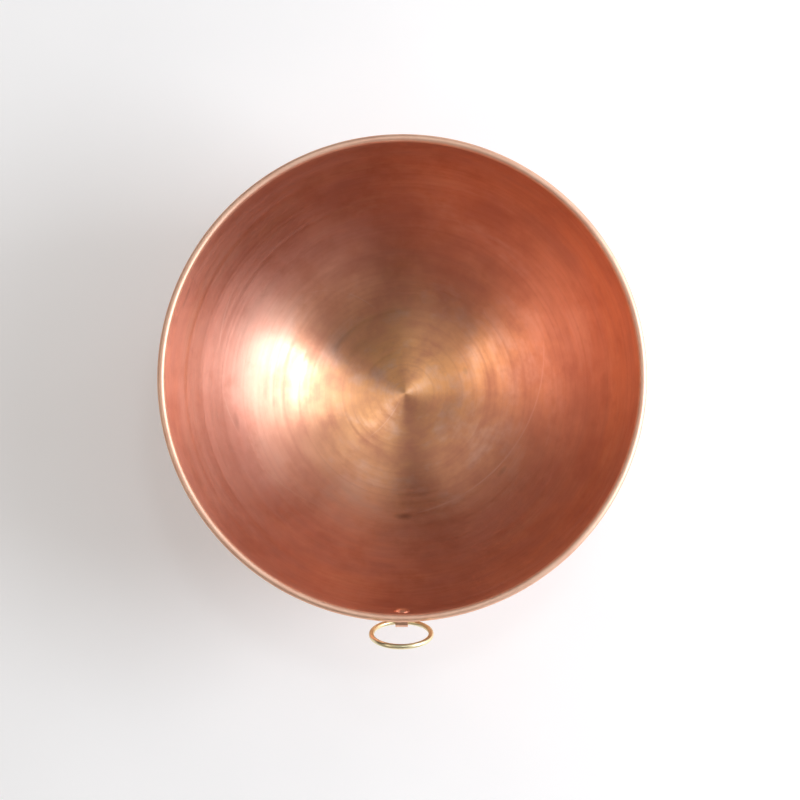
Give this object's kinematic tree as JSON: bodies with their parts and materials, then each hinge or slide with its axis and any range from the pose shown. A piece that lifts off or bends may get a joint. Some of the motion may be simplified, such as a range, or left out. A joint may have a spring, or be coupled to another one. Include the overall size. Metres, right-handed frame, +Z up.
{
  "type": "mixing bowl",
  "caption": "Round spun copper beating bowl with a rolled rim, and a brass ring in a riveted strap to hang it by.",
  "frame": {"origin": "centre of the flat bottom that the bowl stands on, on the bowl's axis", "axes": "+Z up out of the bowl's mouth; the hanging ring is on the -Y side, and its hinge runs along X"},
  "size_m": [0.2998, 0.315, 0.1641],
  "materials": {
    "bowl_copper": "spun copper, satin inside with fine concentric lines, warm brown patina, brighter along the rim",
    "rim_steel": "plain drawn steel wire, hidden inside the rolled rim",
    "strap_copper": "folded copper strip, satin",
    "rivet_copper": "solid copper rivet, smooth domed head inside, hammered head outside",
    "ring_brass": "pale yellow brass wire, polished by handling"
  },
  "bodies": {
    "bowl": {"bowl_shell": "bowl_copper", "rim_wire": "rim_steel", "ring_strap": "strap_copper", "strap_rivet": "rivet_copper"},
    "ring": {"hanging_ring": "ring_brass"}
  },
  "joints": [
    {"name": "ring_swing", "type": "hinge", "parent": "bowl", "child": "ring", "pos_m": [0, -0.14988, 0.12941], "axis": [1, 0, 0], "range_deg": [-7, 172]}
  ]
}
